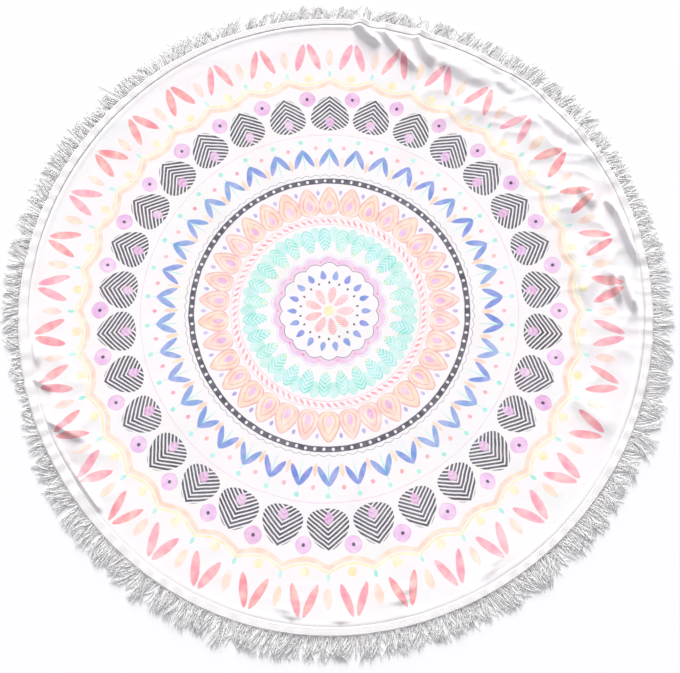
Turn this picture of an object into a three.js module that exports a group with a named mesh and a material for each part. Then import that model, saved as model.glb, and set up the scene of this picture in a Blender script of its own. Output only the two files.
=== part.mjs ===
// Round beach towel laid out on a flat surface: a printed round cloth, a woven heading tape sewn over its
// edge and a yarn fringe that lies out all round. Millimetres, +Z up, origin under the middle of the cloth.
import * as THREE from "three";

// Driving sizes in millimetres
const clothRadius = 750;
const clothThickness = 2.4;
const tapeInnerRadius = 737;
const tapeOuterRadius = 758;
const tapeThickness = 1.2;
const fringeReach = 802;
const fringeTipThickness = 6.4;
const seamGap = 0.35;

// Share of a tassel's pitch that its tip fills, and how far the tips lean aside and differ in length
const tipFill = 0.58;
const tipLean = 3.6;
const tipUneven = 6.5;

// The spine of the comb stops this far inside the tape's outer edge
const spineInset = 0.5;

// Facets: sectors round the towel, one tassel to each, and the rings of the cloth from its middle outwards
const sectors = 180;
const clothRings = [540, 590, 632, 668, 702, tapeInnerRadius, clothRadius];

// Slow swells of the sewn edge and of the fringe's tips. amount is in millimetres, firstCrest in degrees
// anticlockwise from +X, and waves counts the crests round the towel.
const edgeSwells = [
  { waves: 1, amount: 1.3, firstCrest: 27 },
  { waves: 2, amount: 1.3, firstCrest: 54 },
  { waves: 3, amount: 2.9, firstCrest: 17 },
  { waves: 4, amount: 1.0, firstCrest: 2 },
  { waves: 5, amount: 1.2, firstCrest: 36 },
];
const tipSwells = [
  { waves: 1, amount: 5.6, firstCrest: -62 },
  { waves: 2, amount: 3.3, firstCrest: -74 },
  { waves: 3, amount: 2.5, firstCrest: 22 },
  { waves: 4, amount: 3.5, firstCrest: -33 },
];

// Folds left in the cloth. Each is a soft ridge from (x0, y0) to (x1, y1). It stands rise high along its
// middle, fades towards both ends, and falls over left and right to its two sides, looking from its start.
const folds = [
  { name: "first top pleat", x0: 43, y0: 754, x1: 118, y1: 680, rise: 15, left: 16, right: 24 },
  { name: "second top pleat", x0: 113, y0: 731, x1: 213, y1: 605, rise: 13, left: 22, right: 16 },
  { name: "third top pleat", x0: 201, y0: 713, x1: 250, y1: 622, rise: 14, left: 30, right: 18 },
  { name: "tail of the pleats", x0: 254, y0: 649, x1: 400, y1: 571, rise: 7, left: 60, right: 34 },
  { name: "upper edge pucker", x0: 404, y0: 590, x1: 453, y1: 549, rise: 4, left: 30, right: 17 },
  { name: "shoulder swell", x0: 497, y0: 508, x1: 621, y1: 403, rise: 5, left: 44, right: 24 },
  { name: "soft fold above the side", x0: 593, y0: 307, x1: 636, y1: 242, rise: 8, left: 28, right: 20 },
  { name: "head of the side fold", x0: 657, y0: 270, x1: 697, y1: 222, rise: 12, left: 14, right: 14 },
  { name: "steep side fold", x0: 676, y0: 258, x1: 734, y1: 92, rise: 17, left: 14, right: 13 },
  { name: "inner low side fold", x0: 660, y0: 94, x1: 684, y1: 2, rise: 13, left: 15, right: 14 },
  { name: "outer low side fold", x0: 684, y0: 89, x1: 720, y1: -24, rise: 14, left: 18, right: 16 },
  { name: "broad side fold", x0: 560, y0: 182, x1: 606, y1: -16, rise: 6, left: 40, right: 16 },
  { name: "long left crease", x0: -676, y0: -276, x1: -577, y1: -329, rise: 8, left: 24, right: 9 },
  { name: "short left crease", x0: -712, y0: -178, x1: -660, y1: -209, rise: 6, left: 20, right: 8 },
  { name: "left edge crease", x0: -718, y0: -76, x1: -700, y1: -154, rise: 6, left: 18, right: 12 },
  { name: "sewn ridge", x0: -531, y0: -492, x1: -612, y1: -382, rise: 6, left: 6, right: 22 },
  { name: "bottom pucker", x0: -119, y0: -691, x1: -89, y1: -727, rise: 5, left: 18, right: 10 },
  { name: "lower middle pucker", x0: 0, y0: -712, x1: 20, y1: -733, rise: 4, left: 16, right: 10 },
  { name: "bottom crease", x0: 166, y0: -641, x1: 139, y1: -704, rise: 5, left: 9, right: 16 },
  { name: "lower edge pucker", x0: 364, y0: -588, x1: 338, y1: -641, rise: 4, left: 12, right: 18 },
  { name: "lower side swell", x0: 548, y0: -214, x1: 656, y1: -312, rise: 5, left: 42, right: 30 },
];

// Shares of a fold's length over which it fades in from its start and out to its end, and the share of its
// side widths that is left at both ends
const foldFadeIn = 0.16;
const foldFadeOut = 0.3;
const foldEndWidth = 0.45;

const degree = Math.PI / 180;
const goldenAngle = 137.5 * degree;

// The lean turns this much faster than the length from tassel to tassel, so that the two never keep step
const leanTurn = 1.7;

// Sum of the swells of one table at an angle, in millimetres
function swellAt(table, angle) {
  const swell = (row) => row.amount * Math.cos(row.waves * (angle - row.firstCrest * degree));
  return table.reduce((sum, row) => sum + swell(row), 0);
}

// Half a cosine wave: 1 at 0, level at both ends, and 0 from 1 onwards
function softFall(share) {
  const inside = Math.min(Math.abs(share), 1);
  return 0.5 + 0.5 * Math.cos(Math.PI * inside);
}

// Height that one fold lifts the cloth by at a point. Its sides are widest at its middle and narrow towards
// both ends as a sine does.
function foldHeight(fold, x, y) {
  const along = new THREE.Vector2(fold.x1 - fold.x0, fold.y1 - fold.y0);
  const length = along.length();
  along.divideScalar(length);
  const from = new THREE.Vector2(x - fold.x0, y - fold.y0);
  const travelled = from.dot(along) / length;
  const aside = along.cross(from);
  const inside = THREE.MathUtils.clamp(travelled, 0, 1);
  const full = foldEndWidth + (1 - foldEndWidth) * Math.sin(Math.PI * inside);
  const width = full * (aside > 0 ? fold.left : fold.right);
  const middle = THREE.MathUtils.clamp(travelled, foldFadeIn, 1 - foldFadeOut);
  const fade = travelled < middle ? foldFadeIn : foldFadeOut;
  return fold.rise * softFall((travelled - middle) / fade) * softFall(aside / width);
}

// Height of the cloth's underside above the surface. Overlapping folds take the higher of them.
function liftAt(x, y) {
  return Math.max(0, ...folds.map((fold) => foldHeight(fold, x, y)));
}

// A point of the laid towel: the swells of the edge stretch every radius by the same share
function spot(sector, radius, lean = 0) {
  const angle = (sector * 2 * Math.PI) / sectors;
  const stretched = radius * (1 + swellAt(edgeSwells, angle) / clothRadius);
  const turned = angle + lean / stretched;
  return { x: stretched * Math.cos(turned), y: stretched * Math.sin(turned) };
}

// Collects vertices and quads of one closed mesh
function makeShell() {
  const positions = [];
  const index = [];
  return {
    vertex(x, y, z) {
      positions.push(x, y, z);
      return positions.length / 3 - 1;
    },
    triangle(a, b, c) {
      index.push(a, b, c);
    },
    quad(a, b, c, d) {
      index.push(a, b, c, a, c, d);
    },
    geometry() {
      const result = new THREE.BufferGeometry();
      result.setAttribute("position", new THREE.Float32BufferAttribute(positions, 3));
      result.setIndex(index);
      result.computeVertexNormals();
      return result;
    },
  };
}

// One ring of vertices at a radius and a height above the lifted underside. The stitched tape holds a fold
// straight, so from its inner edge outwards the lift stays what it is there.
function ringOf(shell, radius, above) {
  return Array.from({ length: sectors }, (_, sector) => {
    const { x, y } = spot(sector, radius);
    const held = spot(sector, Math.min(radius, tapeInnerRadius));
    return shell.vertex(x, y, liftAt(held.x, held.y) + above);
  });
}

// Joins two rings by a strip of quads. It faces up where the second ring lies outside the first.
function joinRings(shell, first, second) {
  for (let i = 0; i < sectors; i++) {
    const next = (i + 1) % sectors;
    shell.quad(first[i], second[i], second[next], first[next]);
  }
}

// Closes the hole inside a ring with a fan round one vertex
function closeRing(shell, ring, centre, upwards) {
  for (let i = 0; i < sectors; i++) {
    const next = (i + 1) % sectors;
    if (upwards) shell.triangle(centre, ring[i], ring[next]);
    else shell.triangle(centre, ring[next], ring[i]);
  }
}

// The printed cloth: a round sheet with its folds, flat underneath wherever it lies on the surface
function makeCloth() {
  const shell = makeShell();
  const top = clothRings.map((radius) => ringOf(shell, radius, clothThickness));
  const underside = clothRings.map((radius) => ringOf(shell, radius, 0));
  const last = clothRings.length - 1;
  for (let ring = 0; ring < last; ring++) {
    joinRings(shell, top[ring], top[ring + 1]);
    joinRings(shell, underside[ring + 1], underside[ring]);
  }
  joinRings(shell, top[last], underside[last]);
  closeRing(shell, top[0], shell.vertex(0, 0, clothThickness), true);
  closeRing(shell, underside[0], shell.vertex(0, 0, 0), false);
  return shell.geometry();
}

// The heading tape: a flat woven band that covers the cloth's edge and the heads of the tassels
function makeTape() {
  const shell = makeShell();
  const base = clothThickness + seamGap;
  const section = [
    ringOf(shell, tapeInnerRadius, base),
    ringOf(shell, tapeInnerRadius, base + tapeThickness),
    ringOf(shell, tapeOuterRadius, base + tapeThickness),
    ringOf(shell, tapeOuterRadius, base),
  ];
  section.forEach((ring, side) => joinRings(shell, ring, section[(side + 1) % section.length]));
  return shell.geometry();
}

// How far one tassel reaches and leans: the slow swells, and a turn of the golden angle from one tassel to
// the next for its own unevenness
function tasselTip(sector) {
  const angle = ((sector + 0.5) * 2 * Math.PI) / sectors;
  return {
    reach: fringeReach + swellAt(tipSwells, angle) + tipUneven * Math.sin(sector * goldenAngle),
    lean: tipLean * Math.cos(sector * goldenAngle * leanTurn),
  };
}

// The fringe: one comb whose spine runs under the tape's outer edge, with a tassel to every sector
function makeFringe() {
  const shell = makeShell();
  const spineInner = clothRadius + seamGap;
  const spineOuter = tapeOuterRadius - spineInset;
  const innerLow = ringOf(shell, spineInner, 0);
  const innerTop = ringOf(shell, spineInner, clothThickness);
  const outerTop = ringOf(shell, spineOuter, clothThickness);
  const outerLow = ringOf(shell, spineOuter, 0);
  joinRings(shell, outerLow, innerLow);
  joinRings(shell, innerLow, innerTop);
  joinRings(shell, innerTop, outerTop);
  for (let i = 0; i < sectors; i++) {
    const next = (i + 1) % sectors;
    const { reach, lean } = tasselTip(i);
    const near = spot(i + 0.5 - tipFill / 2, reach, lean);
    const far = spot(i + 0.5 + tipFill / 2, reach, lean);
    const nearTop = shell.vertex(near.x, near.y, fringeTipThickness);
    const farTop = shell.vertex(far.x, far.y, fringeTipThickness);
    const nearLow = shell.vertex(near.x, near.y, 0);
    const farLow = shell.vertex(far.x, far.y, 0);
    shell.quad(outerTop[i], nearTop, farTop, outerTop[next]);
    shell.quad(outerLow[next], farLow, nearLow, outerLow[i]);
    shell.quad(outerLow[i], nearLow, nearTop, outerTop[i]);
    shell.quad(outerTop[next], farTop, farLow, outerLow[next]);
    shell.quad(nearTop, nearLow, farLow, farTop);
  }
  return shell.geometry();
}

// Materials: plain woven cotton, no metal in any of them
function cotton(colour, roughness) {
  return new THREE.MeshStandardMaterial({ color: colour, roughness, metalness: 0 });
}

const pieces = [
  { name: "cloth", geometry: makeCloth(), material: cotton(0xf6ede9, 0.92) },
  { name: "heading_tape", geometry: makeTape(), material: cotton(0xf7f6f4, 0.85) },
  { name: "fringe", geometry: makeFringe(), material: cotton(0xf3f2f0, 0.9) },
];

const towel = new THREE.Group();
for (const piece of pieces) {
  const mesh = new THREE.Mesh(piece.geometry, piece.material);
  mesh.name = piece.name;
  towel.add(mesh);
}

export default towel;
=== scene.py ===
"""Looks of a round beach towel that lies face up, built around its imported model.

The towel is a printed round cloth, a woven heading tape stitched over its edge, and a yarn fringe that
lies out all round. Everything is in metres, with +Z up and the surface that the towel lies on at height 0.
"""

import logging
import math
from dataclasses import dataclass, field
from enum import Enum

import bpy
import numpy as np
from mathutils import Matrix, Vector

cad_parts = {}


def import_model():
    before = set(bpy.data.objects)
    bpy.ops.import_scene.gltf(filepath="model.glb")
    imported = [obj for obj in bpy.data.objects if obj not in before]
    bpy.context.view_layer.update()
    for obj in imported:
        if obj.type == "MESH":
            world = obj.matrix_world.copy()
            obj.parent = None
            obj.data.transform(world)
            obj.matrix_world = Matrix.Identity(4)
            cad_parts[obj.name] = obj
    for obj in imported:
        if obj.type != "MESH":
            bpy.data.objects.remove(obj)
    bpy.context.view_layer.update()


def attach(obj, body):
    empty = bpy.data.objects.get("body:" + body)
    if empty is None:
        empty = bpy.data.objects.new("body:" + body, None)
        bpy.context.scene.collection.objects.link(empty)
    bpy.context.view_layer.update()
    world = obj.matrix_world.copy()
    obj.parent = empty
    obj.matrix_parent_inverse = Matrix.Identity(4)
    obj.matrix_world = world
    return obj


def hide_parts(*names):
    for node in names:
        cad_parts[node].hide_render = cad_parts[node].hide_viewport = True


LOG = logging.getLogger("towel")
MM = 0.001
UP = np.array([0.0, 0.0, 1.0])
STUDIO_GAIN = 1.16
Array = np.ndarray
Colour = tuple[float, float, float, float]
Span = tuple[float, float]

# Names of the pieces' own UV maps and attribute, and the millimetres across that the cloth's map covers
FLAT_LAY = "flat_lay"
TAPE_RUN = "tape_run"
YARN_RUN = "yarn_run"
YARN_TONE = "yarn_tone"
LAY_SPAN = 1600.0


# Shape of the laid towel


def soft_fall(share: Array) -> Array:
    """Half a cosine wave: 1 at 0, level at both ends, and 0 from 1 onwards."""
    return 0.5 + 0.5 * np.cos(math.pi * np.minimum(np.abs(share), 1))


@dataclass(frozen=True)
class Relief:
    """Soft random relief: random heights at the corners of square cells in metres, blended smoothly."""

    cell: float
    seed: int
    height: float = 1.0

    def at(self, x: Array, y: Array | float = 0.0) -> Array:
        """Relief from 0 to its full height, which passes from corner to corner as 3 s squared less 2 s cubed.

        Args:
            x: Places in metres along +X, or along a line.
            y: Places in metres along +Y.

        Returns:
            The relief at each place.
        """
        side = 64
        heights = np.random.default_rng(self.seed).random((side, side))
        u, v = x / self.cell, y / self.cell
        i, j = np.floor(u).astype(int), np.floor(v).astype(int)
        s, t = u - i, v - j
        s, t = s * s * (3 - 2 * s), t * t * (3 - 2 * t)
        low = heights[i % side, j % side] * (1 - s) + heights[(i + 1) % side, j % side] * s
        high = heights[i % side, (j + 1) % side] * (1 - s) + heights[(i + 1) % side, (j + 1) % side] * s
        return self.height * (low * (1 - t) + high * t)

    def centred(self, x: Array) -> Array:
        """Relief along a line, from its height below 0 to its height above."""
        return 2 * self.at(x) - self.height

    def ridged(self, x: Array, y: Array) -> Array:
        """Ridges: height times (1 less twice the distance of the relief's share from a half) squared."""
        return self.height * (1 - np.abs(2 * self.at(x, y) / self.height - 1)) ** 2


@dataclass(frozen=True)
class Swell:
    """A slow wave of a radius round the towel: its crests, its height in mm, its first crest in degrees."""

    waves: int
    amount: float
    first_crest: float

    def at(self, angle: Array) -> Array:
        """Height of the swell in metres: a cosine of the angle from its first crest."""
        return self.amount * MM * np.cos(self.waves * (angle - math.radians(self.first_crest)))


@dataclass(frozen=True)
class Stretch:
    """A stretch of the towel's edge: its middle and half width in degrees, and the amount it has there."""

    middle: float
    half: float
    amount: float

    def at(self, angle: Array) -> Array:
        """The amount at an angle: half a cosine that falls from the middle to the sides."""
        turned = np.degrees(angle) - self.middle
        return self.amount * soft_fall(((turned + 180) % 360 - 180) / self.half)


@dataclass(frozen=True)
class Crumple(Stretch):
    """A stretch of fine, uneven creases as deep as its amount in mm, from an inner radius in mm outwards."""

    inner: float
    fade: float = 90.0

    def depth(self, angle: Array, radius: Array) -> Array:
        """Depth in metres, fading to the sides of the stretch and inwards of its inner radius."""
        return self.at(angle) * MM * np.clip((radius / MM - self.inner) / self.fade, 0, 1)


@dataclass(frozen=True)
class Fold:
    """One soft ridge left in the cloth, in millimetres, with a left and a right side of their own widths.

    It fades in and out over shares of its length, and a share of its widths is left at both ends.
    """

    name: str
    start: tuple[float, float]
    end: tuple[float, float]
    rise: float
    left: float
    right: float
    fade_in: float = 0.16
    fade_out: float = 0.3
    end_width: float = 0.45

    def height(self, x: Array, y: Array) -> Array:
        """Height in metres: half a cosine across, times half a cosine over the faded ends.

        Its sides are as wide as stated at its middle and narrow towards its ends as a sine does.

        Args:
            x: Places in metres along +X.
            y: Places in metres along +Y.

        Returns:
            The height that this fold lifts the cloth by at each place.
        """
        run = (np.array(self.end) - np.array(self.start)) * MM
        length = float(np.hypot(*run))
        run = run / length
        from_x = x - self.start[0] * MM
        from_y = y - self.start[1] * MM
        travelled = (from_x * run[0] + from_y * run[1]) / length
        aside = run[0] * from_y - run[1] * from_x
        full = self.end_width + (1 - self.end_width) * np.sin(math.pi * np.clip(travelled, 0, 1))
        width = np.where(aside > 0, self.left, self.right) * full * MM
        middle = np.clip(travelled, self.fade_in, 1 - self.fade_out)
        fade = np.where(travelled < middle, self.fade_in, self.fade_out)
        return self.rise * MM * soft_fall((travelled - middle) / fade) * soft_fall(aside / width)


@dataclass
class Lay:
    """How the towel lies: its sizes in metres, its outline, and the height of its cloth everywhere."""

    cloth_radius: float = 0.750
    cloth_thickness: float = 0.0024
    tape_inner: float = 0.737
    tape_outer: float = 0.758
    fringe_reach: float = 0.802
    edge_swells: tuple[Swell, ...] = (
        Swell(1, 1.3, 27),
        Swell(2, 1.3, 54),
        Swell(3, 2.9, 17),
        Swell(4, 1.0, 2),
        Swell(5, 1.2, 36),
    )
    tip_swells: tuple[Swell, ...] = (
        Swell(1, 5.6, -62),
        Swell(2, 3.3, -74),
        Swell(3, 2.5, 22),
        Swell(4, 3.5, -33),
    )
    folds: tuple[Fold, ...] = (
        Fold("first top pleat", (43, 754), (118, 680), 15, 16, 24),
        Fold("second top pleat", (113, 731), (213, 605), 13, 22, 16),
        Fold("third top pleat", (201, 713), (250, 622), 14, 30, 18),
        Fold("tail of the pleats", (254, 649), (400, 571), 7, 60, 34),
        Fold("upper edge pucker", (404, 590), (453, 549), 4, 30, 17),
        Fold("shoulder swell", (497, 508), (621, 403), 5, 44, 24),
        Fold("soft fold above the side", (593, 307), (636, 242), 8, 28, 20),
        Fold("head of the side fold", (657, 270), (697, 222), 12, 14, 14),
        Fold("steep side fold", (676, 258), (734, 92), 17, 14, 13),
        Fold("inner low side fold", (660, 94), (684, 2), 13, 15, 14),
        Fold("outer low side fold", (684, 89), (720, -24), 14, 18, 16),
        Fold("broad side fold", (560, 182), (606, -16), 6, 40, 16),
        Fold("long left crease", (-676, -276), (-577, -329), 8, 24, 9),
        Fold("short left crease", (-712, -178), (-660, -209), 6, 20, 8),
        Fold("left edge crease", (-718, -76), (-700, -154), 6, 18, 12),
        Fold("sewn ridge", (-531, -492), (-612, -382), 6, 6, 22),
        Fold("bottom pucker", (-119, -691), (-89, -727), 5, 18, 10),
        Fold("lower middle pucker", (0, -712), (20, -733), 4, 16, 10),
        Fold("bottom crease", (166, -641), (139, -704), 5, 9, 16),
        Fold("lower edge pucker", (364, -588), (338, -641), 4, 12, 18),
        Fold("lower side swell", (548, -214), (656, -312), 5, 42, 30),
    )
    crumples: tuple[Crumple, ...] = (
        Crumple(28, 60, 8.5, 520),
        Crumple(205, 40, 2.6, 580),
        Crumple(290, 70, 2.0, 600),
        Crumple(120, 60, 1.4, 620),
    )
    crease_bend: Relief = Relief(0.11, 5, 0.03)
    broad_creases: Relief = Relief(0.085, 11, 0.75)
    small_creases: Relief = Relief(0.034, 23, 0.3)
    slow_rise: Relief = Relief(0.25, 31, 0.0006)
    gathers: int = 118
    gather_rise: Relief = Relief(0.12, 47, 0.0011)
    gather_slip: Relief = Relief(0.2, 53, 9.0)
    gather_fade: float = 0.020
    band_width: float = 0.0190
    band_swells: tuple[Swell, ...] = (Swell(1, 3, 215), Swell(2, 2, 0))
    band_pulls: tuple[Stretch, ...] = (
        Stretch(50, 9, -9),
        Stretch(77, 9, 3),
        Stretch(214, 10, 3),
        Stretch(190, 10, 4),
    )

    def stretch(self, angle: Array) -> Array:
        """Share by which the outline's swells stretch every radius at an angle."""
        return 1 + sum(swell.at(angle) for swell in self.edge_swells) / self.cloth_radius

    def spot(self, angle: Array, radius: Array) -> tuple[Array, Array]:
        """Place on the laid towel of a point of the flat round cut, given by its angle and radius."""
        laid = radius * self.stretch(angle)
        return laid * np.cos(angle), laid * np.sin(angle)

    def band_inner(self, angle: Array) -> Array:
        """Radius of the tape's inner edge: the tape shows wider at the lower left and narrower at the top.

        Args:
            angle: Angles round the towel in radians.

        Returns:
            The radius in metres.
        """
        wider = sum(swell.at(angle) for swell in self.band_swells)
        pulled = MM * sum(pull.at(angle) for pull in self.band_pulls)
        return self.tape_outer - self.band_width - wider - pulled

    def main_folds(self, angle: Array, radius: Array) -> Array:
        """Height of the highest main fold at each place."""
        place = self.spot(angle, radius)
        return np.maximum(np.max([fold.height(*place) for fold in self.folds], axis=0), 0)

    def fine_creases(self, angle: Array, radius: Array) -> Array:
        """Height of the fine creases: ridges of two sizes, as deep as the crumpled stretches say.

        Args:
            angle: Angles round the towel in radians.
            radius: Radii in the flat cut in metres.

        Returns:
            The height in metres.
        """
        x, y = self.spot(angle, radius)
        bend = self.crease_bend.at(x, y)
        ridges = self.broad_creases.ridged(x + bend, y - bend) + self.small_creases.ridged(x - bend, y + bend)
        return sum(row.depth(angle, radius) for row in self.crumples) * ridges + self.slow_rise.at(x, y)

    def seam_gathers(self, angle: Array, radius: Array) -> Array:
        """Height of the short gathers that the stitching pulls: waves round the edge that die off inwards.

        Args:
            angle: Angles round the towel in radians.
            radius: Radii in the flat cut in metres.

        Returns:
            The height in metres.
        """
        run = angle * self.cloth_radius
        wave = 0.5 + 0.5 * np.sin(angle * self.gathers + self.gather_slip.at(run))
        from_tape = np.maximum(self.tape_inner - radius, 0)
        return self.gather_rise.at(run) * wave * np.exp(-from_tape / self.gather_fade)

    def lift(self, angle: Array, radius: Array) -> Array:
        """Height of the cloth's underside. From the tape's inner edge outwards it stays what it is there."""
        held = np.minimum(radius, self.tape_inner)
        return sum(part(angle, held) for part in (self.main_folds, self.fine_creases, self.seam_gathers))


# Meshes from arrays


@dataclass
class MeshData:
    """Vertices with the quads and triangles between them, as arrays of vertex numbers."""

    vertices: Array
    quads: Array
    triangles: Array = field(default_factory=lambda: np.zeros((0, 3), int))

    def to_object(self, name: str, smooth: bool = True) -> bpy.types.Object:
        """Makes a Blender object that sits at the origin, with its place in its mesh.

        Args:
            name: Name of the new object.
            smooth: Whether its faces are shaded smooth.

        Returns:
            The new object, linked to the scene.
        """
        mesh = bpy.data.meshes.new(name)
        loops = np.concatenate([self.quads.ravel(), self.triangles.ravel()])
        quad_starts = np.arange(len(self.quads)) * 4
        triangle_starts = len(self.quads) * 4 + np.arange(len(self.triangles)) * 3
        mesh.vertices.add(len(self.vertices))
        mesh.vertices.foreach_set("co", self.vertices.astype(np.float32).ravel())
        mesh.loops.add(len(loops))
        mesh.loops.foreach_set("vertex_index", loops.astype(np.int32))
        mesh.polygons.add(len(self.quads) + len(self.triangles))
        starts = np.concatenate([quad_starts, triangle_starts])
        mesh.polygons.foreach_set("loop_start", starts.astype(np.int32))
        mesh.update(calc_edges=True)
        mesh.polygons.foreach_set("use_smooth", np.full(len(mesh.polygons), smooth))
        thing = bpy.data.objects.new(name, mesh)
        bpy.context.scene.collection.objects.link(thing)
        return thing


def lay_uv(thing: bpy.types.Object, name: str, per_vertex: Array) -> None:
    """Stores one pair of numbers per vertex as the piece's own UV map.

    Args:
        thing: The piece.
        name: Name of the UV map.
        per_vertex: One row of two numbers for each vertex.
    """
    mesh = thing.data
    corners = np.empty(len(mesh.loops), np.int32)
    mesh.loops.foreach_get("vertex_index", corners)
    layer = mesh.uv_layers.new(name=name)
    layer.data.foreach_set("uv", per_vertex[corners].astype(np.float32).ravel())


def ring_quads(rings: int, sectors: int, closed: bool = False) -> Array:
    """Quads of a grid of rings that close round in the second direction, facing up if rings grow outwards.

    Args:
        rings: Number of rings.
        sectors: Vertices in each ring.
        closed: Whether the last ring joins the first.

    Returns:
        The quads, as rows of four vertex numbers.
    """
    count = rings if closed else rings - 1
    ring, sector = np.meshgrid(np.arange(count), np.arange(sectors), indexing="ij")
    outer, following = (ring + 1) % rings, (sector + 1) % sectors
    corners = [ring * sectors + sector, outer * sectors + sector, outer * sectors + following]
    corners.append(ring * sectors + following)
    return np.stack(corners, axis=-1).reshape(-1, 4)


def tubes(paths: Array, radii: Array, sides: int) -> MeshData:
    """Closed tubes along many paths at once: a round section that stands across each path at every point.

    Args:
        paths: Points of the paths, shaped (tubes, points, 3).
        radii: Radius at each point, shaped (tubes, points).
        sides: Vertices round each section.

    Returns:
        The tubes with both ends closed by fans.
    """
    many, points, _ = paths.shape
    along = np.gradient(paths, axis=1)
    along /= np.linalg.norm(along, axis=2, keepdims=True)
    across = np.cross(UP, along)
    across /= np.linalg.norm(across, axis=2, keepdims=True)
    over = np.cross(along, across)
    around = np.arange(sides) * 2 * math.pi / sides
    section = across[:, :, None] * np.cos(around)[:, None] + over[:, :, None] * np.sin(around)[:, None]
    rings = paths[:, :, None] + radii[..., None, None] * section
    ends = paths[:, [0, -1]]
    vertices = np.concatenate([rings.reshape(many, -1, 3), ends], axis=1)
    each = points * sides
    point, side = np.meshgrid(np.arange(points - 1), np.arange(sides), indexing="ij")
    following = (side + 1) % sides
    corners = [point * sides + side, point * sides + following]
    corners += [(point + 1) * sides + following, (point + 1) * sides + side]
    quads = np.stack(corners, axis=-1).reshape(-1, 4)
    rim, after = np.arange(sides), (np.arange(sides) + 1) % sides
    last = each - sides
    start_fan = np.stack([np.full(sides, each), after, rim], axis=-1)
    end_fan = np.stack([np.full(sides, each + 1), last + rim, last + after], axis=-1)
    fans = np.concatenate([start_fan, end_fan])
    offsets = np.arange(many)[:, None, None] * (each + 2)
    quads, fans = (quads + offsets).reshape(-1, 4), (fans + offsets).reshape(-1, 3)
    return MeshData(vertices.reshape(-1, 3), quads, fans)


def dress_yarns(thing: bpy.types.Object, paths: Array, sides: int, tone: Array) -> None:
    """Stores each yarn's run as a UV map and its own tone as an attribute.

    Args:
        thing: The object that tubes() made.
        paths: Points of the yarns, shaped (yarns, points, 3).
        sides: Vertices round each section.
        tone: One number from 0 to 1 for each yarn.
    """
    many, points, _ = paths.shape
    step = np.linalg.norm(np.diff(paths, axis=1), axis=2)
    run = np.concatenate([np.zeros((many, 1)), np.cumsum(step, axis=1)], axis=1)
    around = np.abs(np.arange(sides) / sides * 2 - 1)
    u = np.broadcast_to(around, (many, points, sides))
    v = np.broadcast_to(run[..., None], (many, points, sides))
    rings = np.stack([u, v], axis=-1).reshape(many, -1, 2)
    ends = np.stack([np.zeros((many, 2)), run[:, [0, -1]]], axis=-1)
    lay_uv(thing, YARN_RUN, np.concatenate([rings, ends], axis=1).reshape(-1, 2))
    layer = thing.data.attributes.new(YARN_TONE, "FLOAT", "POINT")
    layer.data.foreach_set("value", np.repeat(tone, points * sides + 2).astype(np.float32))


# Node trees


class Signal:
    """A socket that takes part in sums: each operator adds a Math node and gives the signal of its result."""

    def __init__(self, wiring: "Wiring", socket: bpy.types.NodeSocket) -> None:
        """Keeps the wiring that the socket belongs to, and the socket."""
        self.wiring = wiring
        self.socket = socket

    def __add__(self, other: "Signal | float") -> "Signal":
        """Sum."""
        return self.wiring.maths("ADD", self, other)

    def __sub__(self, other: "Signal | float") -> "Signal":
        """Difference."""
        return self.wiring.maths("SUBTRACT", self, other)

    def __rsub__(self, other: float) -> "Signal":
        """Difference from a number."""
        return self.wiring.maths("SUBTRACT", other, self)

    def __mul__(self, other: "Signal | float") -> "Signal":
        """Product."""
        return self.wiring.maths("MULTIPLY", self, other)

    def __truediv__(self, other: "Signal | float") -> "Signal":
        """Quotient."""
        return self.wiring.maths("DIVIDE", self, other)

    def __abs__(self) -> "Signal":
        """Size without its sign."""
        return self.wiring.maths("ABSOLUTE", self)

    def scaled(self, factor: "Signal | float", offset: "Signal | float") -> "Signal":
        """Product with a factor, plus an offset."""
        return self.wiring.maths("MULTIPLY_ADD", self, factor, offset)

    def clamped(self) -> "Signal":
        """The signal kept from 0 to 1 by a node of its own."""
        return self.wiring.add("ShaderNodeClamp", {"Value": self})["Result"]


class Step:
    """A node of a tree, whose outputs are read by name or number as signals."""

    def __init__(self, wiring: "Wiring", node: bpy.types.Node) -> None:
        """Keeps the wiring that the node belongs to, and the node."""
        self.wiring = wiring
        self.node = node

    def __getitem__(self, name: str | int) -> Signal:
        """Signal of one output."""
        return Signal(self.wiring, self.node.outputs[name])

    def take(self, inputs: dict[str | int, object]) -> None:
        """Links inputs to signals, or sets their own values.

        Args:
            inputs: Signals or values by the name or number of the input.
        """
        for name, value in inputs.items():
            if isinstance(value, Signal):
                self.wiring.tree.links.new(value.socket, self.node.inputs[name])
            else:
                self.node.inputs[name].default_value = value


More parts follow.
